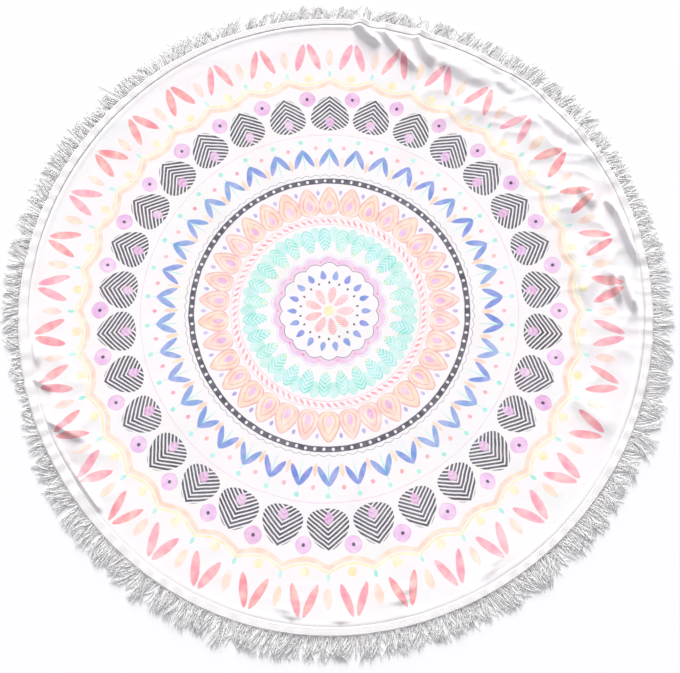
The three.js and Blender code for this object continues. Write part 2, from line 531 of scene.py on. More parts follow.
class Wiring:
    """Adds nodes to one node tree, so that a material reads as a list of steps and sums."""

    def __init__(self, tree: bpy.types.NodeTree) -> None:
        """Starts with the tree to add to."""
        self.tree = tree

    def add(self, kind: str, inputs: dict[str | int, object] | None = None, **settings: object) -> Step:
        """Adds a node.

        Args:
            kind: Blender's name for the kind of node.
            inputs: Values or signals for its inputs, by name or number.
            **settings: Settings of the node itself.

        Returns:
            The new node as a step.
        """
        step = Step(self, self.tree.nodes.new(kind))
        for name, value in settings.items():
            setattr(step.node, name, value)
        step.take(inputs or {})
        return step

    def group(self, tree: bpy.types.NodeTree, **inputs: object) -> Step:
        """Places a node group, with its inputs by name."""
        return self.add("ShaderNodeGroup", inputs, node_tree=tree)

    def maths(self, operation: str, *values: object) -> Signal:
        """Adds a Math node and gives its result."""
        return self.add("ShaderNodeMath", dict(enumerate(values)), operation=operation)[0]

    def vector(self, operation: str, first: object, second: object) -> Signal:
        """Adds a Vector Math node and gives its result. Scaling takes a number as the second value."""
        inputs = {0: first, "Scale" if operation == "SCALE" else 1: second}
        return self.add("ShaderNodeVectorMath", inputs, operation=operation)[0]

    def blend(self, share: object, first: object, second: object, mode: str = "MIX") -> Signal:
        """Mixes two colours by a share. The node's colours are its inputs 6 and 7 and its output 2."""
        inputs = {"Factor": share, 6: first, 7: second}
        return self.add("ShaderNodeMix", inputs, data_type="RGBA", blend_type=mode)[2]

    def noise(self, place: Signal, scale: object, detail: float) -> Step:
        """Adds a noise texture in three dimensions."""
        return self.add("ShaderNodeTexNoise", {"Vector": place, "Scale": scale, "Detail": detail})

    def split(self, vector: Signal) -> tuple[Signal, Signal]:
        """X and Y of a vector."""
        parts = self.add("ShaderNodeSeparateXYZ", {"Vector": vector})
        return parts["X"], parts["Y"]


def socket_kind(default: object) -> str:
    """Kind of group socket for a default: none makes a vector, four numbers a colour and one a value."""
    kinds = {type(None): "NodeSocketVector", tuple: "NodeSocketColor"}
    return kinds.get(type(default), "NodeSocketFloat")


def new_group(
    name: str, inputs: dict[str, object], outputs: dict[str, object]
) -> tuple[Wiring, dict[str, Signal], Step]:
    """Starts a shader node group with named inputs and outputs.

    Args:
        name: Name of the group.
        inputs: Default of each input by name.
        outputs: A value of each output's kind by name.

    Returns:
        The wiring of the group, the signals of its inputs by name and the step that takes its results.
    """
    tree = bpy.data.node_groups.new(name, "ShaderNodeTree")
    for label, default in inputs.items():
        socket = tree.interface.new_socket(label, in_out="INPUT", socket_type=socket_kind(default))
        if default is not None:
            socket.default_value = default
    for label, sample in outputs.items():
        tree.interface.new_socket(label, in_out="OUTPUT", socket_type=socket_kind(sample))
    wiring = Wiring(tree)
    entry = wiring.add("NodeGroupInput")
    return wiring, {label: entry[label] for label in inputs}, wiring.add("NodeGroupOutput")


def polar_group() -> bpy.types.NodeTree:
    """Makes the group that turns the flat lay of the cloth into a radius in mm and a turn from 0 to 1.

    Two sizes of noise shift the place first, so that printed edges waver as a brush does.

    Returns:
        The group.
    """
    inputs = {"Flat": None, "Span": LAY_SPAN, "Waver": 3.0, "Ragged": 1.0}
    wiring, given, leave = new_group("hand drawn polar", inputs, {"Radius": 0.0, "Turn": 0.0})
    centred = wiring.vector("SUBTRACT", given["Flat"], (0.5, 0.5, 0.0))
    true_place = wiring.vector("SCALE", centred, given["Span"])
    drawn = true_place
    waver_scale, ragged_scale = 0.035, 0.16
    for scale, amount in ((waver_scale, given["Waver"]), (ragged_scale, given["Ragged"])):
        shift = wiring.vector("SUBTRACT", wiring.noise(true_place, scale, 1.0)["Color"], (0.5, 0.5, 0.5))
        drawn = wiring.vector("ADD", drawn, wiring.vector("SCALE", shift, amount))
    x, y = wiring.split(drawn)
    turn = wiring.maths("ARCTAN2", y, x).scaled(0.5 / math.pi, 0.5)
    leave.take({"Radius": wiring.maths("SQRT", x * x + y * y), "Turn": turn})
    return wiring.tree


def motif_group() -> bpy.types.NodeTree:
    """Makes the group for a ring of like motifs, such as petals, beads, leaves or arches.

    Half the motif's width at a place along it is Width times (1 - v squared) to the power Point times
    (1 + Skew v), where v runs from -1 at its inner end to 1 at its outer end. Point 0.5 gives an ellipse and
    1 a leaf. The mask falls to 0 over Soft mm at the outline. Hollow keeps only an outline that wide in mm.

    Returns:
        The group.
    """
    place = {"Radius": 0.0, "Turn": 0.0, "Count": 12.0, "Phase": 0.0, "At": 100.0}
    sizes = {"Length": 20.0, "Width": 8.0, "Point": 0.5, "Skew": 0.0}
    habits = {"Lean": 0.0, "Hollow": 0.0, "Soft": 1.6, "Uneven": 1.0, "Tilt": 0.03, "Growth": 0.06}
    wiring, given, leave = new_group(
        "ring motif",
        {**place, **sizes, **habits},
        {"Mask": 0.0, "Inside": 0.0, "Chance": 0.0, "Along": 0.0, "Across": 0.0},
    )
    turns = given["Turn"].scaled(given["Count"], given["Phase"])
    cell = wiring.maths("FLOOR", turns)
    number = wiring.maths("MODULO", cell, given["Count"]) + given["At"]
    chance = wiring.add("ShaderNodeTexWhiteNoise", {"W": number}, noise_dimensions="1D")
    slip_out, slip_aside = ((part - 0.5) * given["Uneven"] for part in wiring.split(chance["Color"]))
    arc = given["Radius"] / given["Count"] * (2 * math.pi)
    along = given["Radius"] - given["At"] + slip_out
    tilt = slip_aside.scaled(given["Tilt"], given["Lean"])
    across = (turns - cell - 0.5).scaled(arc, slip_aside) - along * tilt
    share = along / given["Length"]
    bowed = wiring.maths("POWER", (1.0 - share * share).clamped(), given["Point"])
    width = bowed * share.scaled(given["Skew"], 1.0) * given["Width"]
    depth = width * slip_aside.scaled(given["Growth"], 1.0) - abs(across)
    filled = (depth / given["Soft"]).clamped()
    core = ((depth - given["Hollow"]) / given["Soft"]).clamped()
    hollowed = core * wiring.maths("GREATER_THAN", given["Hollow"], 0.0)
    leave.take({
        "Mask": (filled - hollowed).clamped(),
        "Inside": (depth / given["Width"]).clamped(),
        "Chance": chance["Value"],
        "Along": along,
        "Across": across,
    })
    return wiring.tree


def vein_group() -> bpy.types.NodeTree:
    """Makes the group that cuts bare veins through a motif: lines every Pitch mm, bent by Slope as barbs are.

    Returns:
        The group.
    """
    inputs = {"Mask": 1.0, "Along": 0.0, "Across": 0.0, "Pitch": 6.0, "Slope": 0.5, "Bare": 1.6, "Soft": 1.0}
    wiring, given, leave = new_group("bare veins", inputs, {"Mask": 0.0})
    bent = abs(given["Across"]).scaled(given["Slope"], given["Along"])
    turn = wiring.maths("FRACT", bent / given["Pitch"]) - 0.5
    inked = ((abs(turn) * given["Pitch"] - given["Bare"] * 0.5) / given["Soft"]).clamped()
    leave.take({"Mask": given["Mask"] * inked})
    return wiring.tree


def line_group() -> bpy.types.NodeTree:
    """Makes the group for a line round the cloth, At a radius, Width wide, with Count scallops Scallop high.

    Returns:
        The group.
    """
    place = {"Radius": 0.0, "Turn": 0.0, "At": 100.0}
    sizes = {"Width": 3.0, "Count": 12.0, "Scallop": 0.0, "Soft": 1.2}
    wiring, given, leave = new_group("ring line", {**place, **sizes}, {"Mask": 0.0})
    hump = abs(wiring.maths("SINE", given["Turn"] * given["Count"] * math.pi)) * given["Scallop"]
    depth = given["Width"] * 0.5 - abs(given["Radius"] - given["At"] - hump)
    leave.take({"Mask": (depth / given["Soft"]).clamped()})
    return wiring.tree


def dye_group() -> bpy.types.NodeTree:
    """Makes the group that lays one watery ink over a colour.

    The ink is paler in pools, drifts a little in hue, is darker where it dried at its edge, and leaves fibre
    ends bare.

    Returns:
        The group.
    """
    white = (1.0, 1.0, 1.0, 1.0)
    ink = {"Under": white, "Ink": white, "Mask": 1.0, "Inside": 1.0}
    chances = {"Chance": 0.5, "Pools": 0.5, "Fibres": 0.5}
    habits = {"Strength": 1.0, "Watery": 0.42, "Drift": 0.028, "Rim": 0.26, "Dried": 1.3, "Bare": 0.4}
    wiring, given, leave = new_group("watery ink", {**ink, **chances, **habits}, {"Colour": white})
    own_share = 0.3
    uneven = given["Chance"].scaled(own_share, given["Pools"] * (1 - own_share))
    drift = (given["Pools"] - given["Chance"]).scaled(given["Drift"], 0.5)
    hue = wiring.add("ShaderNodeHueSaturation", {"Hue": drift, "Color": given["Ink"]})
    watered = wiring.blend((uneven * given["Watery"]).clamped(), hue[0], white)
    rim = (given["Rim"] - given["Inside"]).clamped() * given["Dried"]
    dried = wiring.blend(rim, watered, given["Ink"], "MULTIPLY")
    covered = given["Mask"] * given["Strength"] * (1.0 - given["Fibres"] * given["Bare"])
    leave.take({"Colour": wiring.blend(covered, given["Under"], dried)})
    return wiring.tree


def nap_group() -> bpy.types.NodeTree:
    """Makes the group for cotton's short fibres: a fine height, and a shade in patches and specks.

    Returns:
        The group.
    """
    inputs = {"Vector": None, "Fineness": 700.0, "Patches": 9.0, "Depth": 0.06}
    wiring, given, leave = new_group("cotton nap", inputs, {"Shade": 0.0, "Height": 0.0})
    fine = wiring.noise(given["Vector"], given["Fineness"], 3.0)["Fac"]
    patch = wiring.noise(given["Vector"], given["Patches"], 4.0)["Fac"]
    speck_share = 0.6
    lost = (1.0 - fine.scaled(speck_share, patch * (1 - speck_share))) * given["Depth"]
    leave.take({"Shade": (1.0 - lost).clamped(), "Height": fine})
    return wiring.tree


@dataclass
class Effects:
    """The node groups that the finishes share, each built once."""

    polar: bpy.types.NodeTree = field(default_factory=polar_group)
    motif: bpy.types.NodeTree = field(default_factory=motif_group)
    veins: bpy.types.NodeTree = field(default_factory=vein_group)
    line: bpy.types.NodeTree = field(default_factory=line_group)
    dye: bpy.types.NodeTree = field(default_factory=dye_group)
    nap: bpy.types.NodeTree = field(default_factory=nap_group)


# Finishes


# Colour, shade and height of a finish
Look = tuple[object, Signal, Signal]


def screen(code: str) -> Colour:
    """Works out the shader's colour for six hexadecimal digits as they look on a screen.

    Args:
        code: Red, green and blue, two digits each.

    Returns:
        The colour in linear light, with a full alpha.
    """
    parts = [int(code[i : i + 2], 16) / 255 for i in (0, 2, 4)]
    linear = [p / 12.92 if p <= 0.04045 else ((p + 0.055) / 1.055) ** 2.4 for p in parts]
    return (*linear, 1.0)


class Ink(Enum):
    """Inks of the print, as they look on a screen in the studio's light."""

    CORAL = "F98E99"
    ROSE = "F0A9B4"
    PEACH = "FDD3B4"
    LEMON = "FBEDAE"
    MINT = "86EBDD"
    BLUE = "5C84DA"
    PLUM = "2C2442"
    ORCHID = "EBB2E4"
    VIOLET = "A996DC"
    BARE = "FFFFFF"

    def colour(self) -> Colour:
        """Colour for the shader that gives this look once the studio's light has brightened it."""
        red, green, blue, alpha = screen(self.value)
        return (red / STUDIO_GAIN, green / STUDIO_GAIN, blue / STUDIO_GAIN, alpha)

    def watery(self) -> float:
        """How much of the ink the water took away where it pooled: dark inks keep more."""
        return {"PLUM": 0.12, "BLUE": 0.3}.get(self.name, 0.42)


@dataclass(frozen=True)
class MotifRing:
    """One ring of printed motifs, in millimetres from the middle of the print."""

    ink: Ink
    count: int
    at: float
    length: float
    width: float
    point: float = 0.5
    skew: float = 0.0
    lean: float = 0.0
    phase: float = 0.0
    hollow: float = 0.0
    strength: float = 1.0
    uneven: float = 2.0
    vein_pitch: float = 0.0
    vein_slope: float = 0.5
    vein_bare: float = 2.0

    def shape(self, wiring: Wiring, effects: Effects, place: dict[str, Signal]) -> dict[str, object]:
        """Adds the ring's shape to a material, with its veins if it has any.

        Args:
            wiring: Wiring of the material.
            effects: The shared node groups.
            place: Radius and turn in the print, by input name.

        Returns:
            The ring's mask, depth inside the outlines and chance number, by input name.
        """
        names = ("count", "phase", "at", "length", "width", "point", "skew", "lean", "hollow", "uneven")
        sizes = {name.capitalize(): float(getattr(self, name)) for name in names}
        motif = wiring.group(effects.motif, **place, **sizes)
        mask = motif["Mask"]
        if self.vein_pitch:
            lines = {"Pitch": self.vein_pitch, "Slope": self.vein_slope, "Bare": self.vein_bare}
            local = {"Mask": mask, "Along": motif["Along"], "Across": motif["Across"]}
            mask = wiring.group(effects.veins, **local, **lines)["Mask"]
        return {"Mask": mask, "Inside": motif["Inside"], "Chance": motif["Chance"]}


@dataclass(frozen=True)
class LineRing:
    """One printed line round the cloth, in millimetres from the middle of the print."""

    ink: Ink
    at: float
    width: float
    count: int = 12
    scallop: float = 0.0
    strength: float = 1.0
    chance: float = 0.3

    def shape(self, wiring: Wiring, effects: Effects, place: dict[str, Signal]) -> dict[str, object]:
        """Adds the line's shape to a material.

        Args:
            wiring: Wiring of the material.
            effects: The shared node groups.
            place: Radius and turn in the print, by input name.

        Returns:
            The line's mask, with one depth and one chance number all along it, by input name.
        """
        sizes = {"At": self.at, "Width": self.width, "Count": float(self.count), "Scallop": self.scallop}
        line = wiring.group(effects.line, **place, **sizes)
        return {"Mask": line["Mask"], "Inside": 1.0, "Chance": self.chance}


PRINT: tuple[MotifRing | LineRing, ...] = (
    # Rosette
    LineRing(Ink.LEMON, 6, 14),
    MotifRing(Ink.CORAL, 9, 38, 21, 10, point=0.6, skew=0.3, vein_pitch=7, vein_slope=1.2, vein_bare=1.4),
    MotifRing(Ink.PLUM, 18, 69, 3.6, 3.2),
    MotifRing(Ink.BLUE, 18, 89, 12, 7.2, point=0.6, skew=-0.4, phase=0.5),
    # Scalloped collar
    LineRing(Ink.ORCHID, 119, 17, 18, 9, strength=0.8),
    LineRing(Ink.PLUM, 112, 2.6, 18, 8),
    LineRing(Ink.VIOLET, 130, 2.0, 18, 10),
    MotifRing(Ink.CORAL, 18, 122, 3.2, 3.4, phase=0.5),
    # Lotus
    MotifRing(Ink.MINT, 27, 193, 20, 15, point=0.7, phase=0.5, strength=0.6),
    MotifRing(Ink.MINT, 27, 177, 31, 16, point=0.62, skew=0.2, vein_pitch=10, vein_slope=0.9, vein_bare=1.8),
    MotifRing(Ink.LEMON, 27, 152, 6, 3),
    # Rope
    LineRing(Ink.ROSE, 218, 2.4),
    MotifRing(Ink.CORAL, 90, 227, 6.5, 4.4, point=0.6, lean=0.8, uneven=1.0),
    LineRing(Ink.ROSE, 236, 2.4),
    # Arches
    MotifRing(Ink.PEACH, 34, 277, 36, 25, point=0.5, skew=-0.36, strength=0.9),
    MotifRing(Ink.ROSE, 34, 277, 37, 26, point=0.5, skew=-0.36, hollow=2.8),
    MotifRing(Ink.ROSE, 34, 272, 25, 16, point=0.5, skew=-0.36, hollow=2.4),
    MotifRing(Ink.ORCHID, 34, 266, 13, 7.5, point=0.6),
    MotifRing(Ink.VIOLET, 34, 300, 7, 5, point=0.7, phase=0.5),
    # Beaded band
    LineRing(Ink.PLUM, 330, 15),
    MotifRing(Ink.BARE, 96, 330, 4.2, 4.2, uneven=1.0),
    LineRing(Ink.PLUM, 342, 2.2, 96, 4.5),
    # Paired leaves on stems
    MotifRing(Ink.MINT, 38, 393, 38, 2.2, uneven=1.5),
    MotifRing(Ink.BLUE, 38, 392, 24, 8.5, point=0.66, lean=0.5, phase=0.19),
    MotifRing(Ink.BLUE, 38, 392, 24, 8.5, point=0.66, lean=-0.5, phase=-0.19),
    MotifRing(Ink.PEACH, 38, 378, 17, 6, point=0.7, phase=0.5),
    MotifRing(Ink.CORAL, 38, 418, 5.5, 5.5, phase=0.5),
    MotifRing(Ink.MINT, 38, 437, 6, 6),
    # Feathered fans
    LineRing(Ink.ORCHID, 452, 2.4),
    MotifRing(Ink.PLUM, 30, 511, 47, 45, point=0.5, skew=-0.28, vein_pitch=11, vein_slope=0.8, vein_bare=3.4),
    MotifRing(Ink.ORCHID, 30, 486, 14, 12, point=0.6, skew=0.2, strength=0.9),
    MotifRing(Ink.ORCHID, 30, 549, 21, 20, point=0.6, phase=0.5, uneven=3.0),
    MotifRing(Ink.PLUM, 30, 549, 4.6, 4.6, phase=0.5),
    # Garlands
    LineRing(Ink.PEACH, 596, 13, 36, -18, strength=0.85),
    LineRing(Ink.LEMON, 608, 6, 36, -18),
    MotifRing(Ink.LEMON, 36, 606, 11, 11, strength=0.9, uneven=3.0),
    MotifRing(Ink.MINT, 36, 618, 9, 5, point=0.7, phase=0.5, strength=0.9),
    # Spread leaves
    MotifRing(Ink.CORAL, 36, 668, 37, 11, point=0.6, lean=0.34, phase=0.15, uneven=4.0),
    MotifRing(Ink.CORAL, 36, 668, 37, 11, point=0.6, lean=-0.34, phase=-0.15, uneven=4.0),
    MotifRing(Ink.PEACH, 36, 664, 24, 10, point=0.7, phase=0.5, strength=0.8, uneven=4.0),
)


@dataclass(frozen=True)
class Finish:
    """What every finish has: plain numbers on the shader's own sockets, and cotton's nap.

    The nap's fineness, patches and wander go into its group. Relief is the strength of the bump, and
    relief_depth the real depth in metres that a height of 1 stands for.
    """

    name: str
    white: str
    fineness: float
    patches: float
    wander: float
    relief: float
    relief_depth: float
    sheen: float = 0.12
    sheen_roughness: float = 0.5
    roughness: float = 0.9
    specular: float = 0.15
    glow: float = 0.0
    glow_depth: float = 0.003

    def pattern(self, wiring: Wiring, effects: Effects, here: Signal, nap: Step) -> Look:
        """Colour, shade and height of the finish: here plain white with the nap's own shade and height."""
        return screen(self.white), nap["Shade"], nap["Height"]

    def build(self, effects: Effects) -> bpy.types.Material:
        """Makes the material: its pattern's colour times its shade, and its height as bump.

        Args:
            effects: The shared node groups.

        Returns:
            The finished material.
        """
        material = bpy.data.materials.new(self.name)
        material.use_nodes = True
        wiring = Wiring(material.node_tree)
        wiring.tree.nodes.clear()
        here = wiring.add("ShaderNodeTexCoord")["Object"]
        fibres = {"Fineness": self.fineness, "Patches": self.patches, "Depth": self.wander}
        nap = wiring.group(effects.nap, Vector=here, **fibres)
        colour, shade, height = self.pattern(wiring, effects, here, nap)
        shader = wiring.add("ShaderNodeBsdfPrincipled", {
            "Base Color": wiring.blend(1.0, colour, shade, "MULTIPLY"),
            "Roughness": self.roughness,
            "Sheen Weight": self.sheen,
            "Sheen Roughness": self.sheen_roughness,
            "Specular IOR Level": self.specular,
            "Subsurface Weight": self.glow,
            "Subsurface Radius": (1.0, 1.0, 1.0),
            "Subsurface Scale": self.glow_depth,
        })
        if self.relief:
            raised = {"Height": height, "Strength": self.relief, "Distance": self.relief_depth}
            shader.take({"Normal": wiring.add("ShaderNodeBump", raised)["Normal"]})
        wiring.add("ShaderNodeOutputMaterial", {"Surface": shader["BSDF"]})
        return material


@dataclass(frozen=True)
class PrintedNap(Finish):
    """Short-napped cotton, printed in watery pastel inks on white."""

    name: str = "printed nap"
    white: str = "ECE9EA"
    fineness: float = 620.0
    patches: float = 7.0
    wander: float = 0.07
    relief: float = 0.55
    relief_depth: float = 0.0009
    centre: tuple[float, float] = (-14.0, -14.0)
    pool_scale: float = 38.0
    pool_start: float = 0.36
    pool_gain: float = 3.4
    fibre_scale: float = 820.0
    fibre_start: float = 0.3
    wash: float = 0.35
    washes: tuple[tuple[float, Ink], ...] = ((6.5, Ink.LEMON), (8.5, Ink.ROSE), (7.5, Ink.MINT))

    def pattern(self, wiring: Wiring, effects: Effects, here: Signal, nap: Step) -> Look:
        """Lays faint washes and then the rings of the print one over another on the white ground.

        Args:
            wiring: Wiring of the material.
            effects: The shared node groups.
            here: Object coordinates.
            nap: The nap.

        Returns:
            The colour, shade and height of the finish.
        """
        middle = (self.centre[0] / LAY_SPAN, self.centre[1] / LAY_SPAN, 0.0)
        flat = wiring.vector("SUBTRACT", wiring.add("ShaderNodeUVMap", uv_map=FLAT_LAY)["UV"], middle)
        polar = wiring.group(effects.polar, Flat=flat, Span=LAY_SPAN)
        place = {"Radius": polar["Radius"], "Turn": polar["Turn"]}
        wet = wiring.noise(here, self.pool_scale, 4.0)["Fac"]
        bristly = wiring.noise(here, self.fibre_scale, 2.0)["Fac"]
        cover = {
            "Pools": ((wet - self.pool_start) * self.pool_gain).clamped(),
            "Fibres": (bristly - self.fibre_start).clamped(),
        }
        colour = screen(self.white)
        for scale, ink in self.washes:
            patch = (wiring.noise(here, scale, 3.0)["Fac"] - 0.5).clamped()
            colour = wiring.blend(patch * self.wash, colour, ink.colour())
        for ring in PRINT:
            shape = ring.shape(wiring, effects, place)
            ink = {"Ink": ring.ink.colour(), "Strength": ring.strength, "Watery": ring.ink.watery()}
            colour = wiring.group(effects.dye, Under=colour, **shape, **cover, **ink)["Colour"]
        return colour, nap["Shade"], nap["Height"]


@dataclass(frozen=True)
class TerryBack(Finish):
    """Looped, unprinted underside: small loops in uneven rows."""

    name: str = "terry back"
    white: str = "F4F1EE"
    fineness: float = 900.0
    patches: float = 6.0
    wander: float = 0.1
    relief: float = 0.8
    relief_depth: float = 0.0012
    loops: float = 560.0

    def pattern(self, wiring: Wiring, effects: Effects, here: Signal, nap: Step) -> Look:
        """White in the nap's shade, with a height that falls from the middle of each round loop."""
        cells = wiring.add("ShaderNodeTexVoronoi", {"Vector": here, "Scale": self.loops})
        return screen(self.white), nap["Shade"], 1.0 - cells["Distance"]


@dataclass(frozen=True)
class TapeWeave(Finish):
    """White woven cotton tape: close ribs across it and a fine weave between them."""

    name: str = "tape weave"
    white: str = "EFEDEC"
    fineness: float = 1100.0
    patches: float = 14.0
    wander: float = 0.08
    relief: float = 0.45
    relief_depth: float = 0.0004
    ribs: int = 2300
    ends: float = 17.0
    # Share by which painted shade darkens the gaps between the threads
    painted_gap_shade: float = 0.06
    fuzz: float = 0.4

    def pattern(self, wiring: Wiring, effects: Effects, here: Signal, nap: Step) -> Look:
        """Weaves the tape from its own map: u runs once round the towel, v across the tape.

        The height is the product of a sine wave along the tape and one across it; its low places get painted
        shade.

        Args:
            wiring: Wiring of the material.
            effects: The shared node groups.
            here: Object coordinates.
            nap: The nap.

        Returns:
            The colour, shade and height of the finish.
        """
        round_tape, across_tape = wiring.split(wiring.add("ShaderNodeUVMap", uv_map=TAPE_RUN)["UV"])
        rib_wave = wiring.maths("SINE", round_tape * (2 * math.pi * self.ribs))
        end_wave = wiring.maths("SINE", across_tape * (2 * math.pi * self.ends))
        height = (rib_wave * end_wave).scaled(0.5, 0.5)
        # Painted shade: darker where the weave is low, between the threads
        shade = nap["Shade"] * height.scaled(self.painted_gap_shade, 1 - self.painted_gap_shade)
        return screen(self.white), shade, nap["Height"].scaled(self.fuzz, height)


@dataclass(frozen=True)
class YarnTwist(Finish):
    """Twisted white cotton, for the fringe and the stitches: fibres wind round each yarn."""

    name: str = "fringe yarn"
    white: str = "FDFCFB"
    fineness: float = 1500.0
    patches: float = 30.0
    wander: float = 0.04
    relief: float = 0.4
    relief_depth: float = 0.0004
    sheen: float = 0.35
    glow: float = 0.75
    shade: str = "F8F6F4"
    winds: float = 150.0
    # Share by which painted shade darkens the grooves between the strands
    strands: int = 2
    painted_gap_shade: float = 0.03
    fuzz: float = 0.3

    def pattern(self, wiring: Wiring, effects: Effects, here: Signal, nap: Step) -> Look:
        """Winds the strands by the yarn's own map: u runs round the yarn, v along it in metres.

        The height is a sine wave of the turns round the yarn plus the winds along it; its grooves get painted
        shade.

        Args:
            wiring: Wiring of the material.
            effects: The shared node groups.
            here: Object coordinates.
            nap: The nap.

        Returns:
            The colour, shade and height of the finish.
        """
        round_yarn, along_yarn = wiring.split(wiring.add("ShaderNodeUVMap", uv_map=YARN_RUN)["UV"])
        tone = wiring.add("ShaderNodeAttribute", attribute_name=YARN_TONE, attribute_type="GEOMETRY")["Fac"]
        wound = round_yarn.scaled(self.strands * 2 * math.pi, along_yarn * (self.winds * 2 * math.pi))
        height = wiring.maths("SINE", wound).scaled(0.5, 0.5)
        colour = wiring.blend(tone, screen(self.white), screen(self.shade))
        # Painted shade: darker in the grooves between the strands
        shade = nap["Shade"] * height.scaled(self.painted_gap_shade, 1 - self.painted_gap_shade)
        return colour, shade, nap["Height"].scaled(self.fuzz, height)


@dataclass(frozen=True)
class PaleFloor(Finish):
    """Plain, matt, nearly white floor with a hardly visible unevenness."""

    name: str = "pale floor"
    white: str = "E7E7E7"
    fineness: float = 80.0
    patches: float = 2.0
    wander: float = 0.01
    relief: float = 0.0
    relief_depth: float = 0.0
    sheen: float = 0.0


# Pieces


@dataclass
class Cloth:
    """The printed cloth: a closed sheet on a polar grid that is finer where the folds are.

    A ring zone is the radius in metres where it starts and its number of rings. The sectors are closer
    together in the fine zones, and the seam's sizes are in metres.
    """

    lay: Lay
    sectors: int = 500
    ring_zones: tuple[tuple[float, int], ...] = ((0.02, 14), (0.43, 14), (0.585, 42), (0.715, 20))
    fine_zones: tuple[Stretch, ...] = (Stretch(40, 58, 1.8), Stretch(204, 20, 1.4))
    fine_step: float = 0.5
    seam_pulls: tuple[Stretch, ...] = (
        Stretch(82, 48, 1.3),
        Stretch(357, 30, 1.9),
        Stretch(211, 14, 1.1),
        Stretch(150, 24, 0.4),
        Stretch(300, 30, 0.2),
    )
    least_pull: float = 0.2
    uneven_pull: Relief = Relief(0.16, 71, 0.5)
    roll_height: float = 0.0009
    roll_width: float = 0.006
    roll_back: float = 0.008
    groove_depth: float = 0.0011
    groove_width: float = 0.0026

    def angles(self) -> Array:
        """Works out the angles of the sectors, closer together round the folded side.

        Returns:
            One angle in radians for each sector.
        """
        fine = np.radians(np.arange(0, 360 + self.fine_step, self.fine_step))
        density = 1 + sum(zone.amount * (zone.at(fine) > 0) for zone in self.fine_zones)
        total = np.concatenate([[0], np.cumsum((density[1:] + density[:-1]) / 2)])
        return np.interp(np.arange(self.sectors) / self.sectors * total[-1], total, fine)

    def radii(self) -> Array:
        """Works out the radii of the rings: wide apart in the calm middle, close towards the sewn edge.

        Returns:
            One radius in metres for each ring.
        """
        starts = [start for start, _ in self.ring_zones] + [self.lay.cloth_radius]
        zones = zip(self.ring_zones, starts[1:])
        parts = [np.linspace(start, end, rings, endpoint=False) for (start, rings), end in zones]
        return np.concatenate([*parts, [self.lay.cloth_radius]])

    def seam_shape(self, angle: Array, radius: Array) -> Array:
        """The cloth swells into a soft roll just inside the tape and dips into a groove where it is stitched.

        Both are bell curves of the distance from the tape's inner edge, as high as the stitching pulls there.

        Args:
            angle: Angles round the towel in radians.
            radius: Radii in the flat cut in metres.

        Returns:
            The height in metres that the seam adds.
        """
        pulled = self.least_pull + self.uneven_pull.at(angle * self.lay.cloth_radius)
        pulled = pulled + sum(pull.at(angle) for pull in self.seam_pulls)
        inside = radius - self.lay.band_inner(angle)
        roll = self.roll_height * np.exp(-(((inside + self.roll_back) / self.roll_width) ** 2))
        groove = self.groove_depth * np.exp(-((inside / self.groove_width) ** 2))
        return pulled * (roll - groove)

    def build(self) -> bpy.types.Object:
        """Makes the cloth: its face and its underside are the same grid, joined round the edge.

        Returns:
            The cloth's object, with its flat lay as its own UV map.
        """
        around, out = np.meshgrid(self.angles(), self.radii())
        x, y = self.lay.spot(around, out)
        under = self.lay.lift(around, out)
        top = under + self.lay.cloth_thickness + self.seam_shape(around, out)
        face = np.stack([x, y, top], axis=-1).reshape(-1, 3)
        back = np.stack([x, y, under], axis=-1).reshape(-1, 3)
        poles = np.array([[0, 0, top[0].mean()], [0, 0, under[0].mean()]])
        count = out.size
        face_quads = ring_quads(len(out), self.sectors)
        back_quads = face_quads[:, ::-1] + count
        here = np.arange(self.sectors)
        after = np.roll(here, -1)
        last = count - self.sectors
        rim = last + np.stack([here, here + count, after + count, after], axis=-1)
        face_fan = np.stack([np.full(self.sectors, 2 * count), here, after], axis=-1)
        back_fan = np.stack([np.full(self.sectors, 2 * count + 1), after + count, here + count], axis=-1)
        quads = np.concatenate([face_quads, back_quads, rim])
        data = MeshData(np.concatenate([face, back, poles]), quads, np.concatenate([face_fan, back_fan]))
        cloth = data.to_object("printed_round")
        flat = np.stack([out * np.cos(around), out * np.sin(around)], axis=-1).reshape(-1, 2)
        flat = flat / (LAY_SPAN * MM) + 0.5
        lay_uv(cloth, FLAT_LAY, np.concatenate([flat, flat, np.full((2, 2), 0.5)]))
        unprinted = np.zeros(len(cloth.data.polygons), np.int32)
        unprinted[len(face_quads) : len(quads)] = 1
        unprinted[len(quads) + self.sectors :] = 1
        cloth.data.polygons.foreach_set("material_index", unprinted)
        return cloth


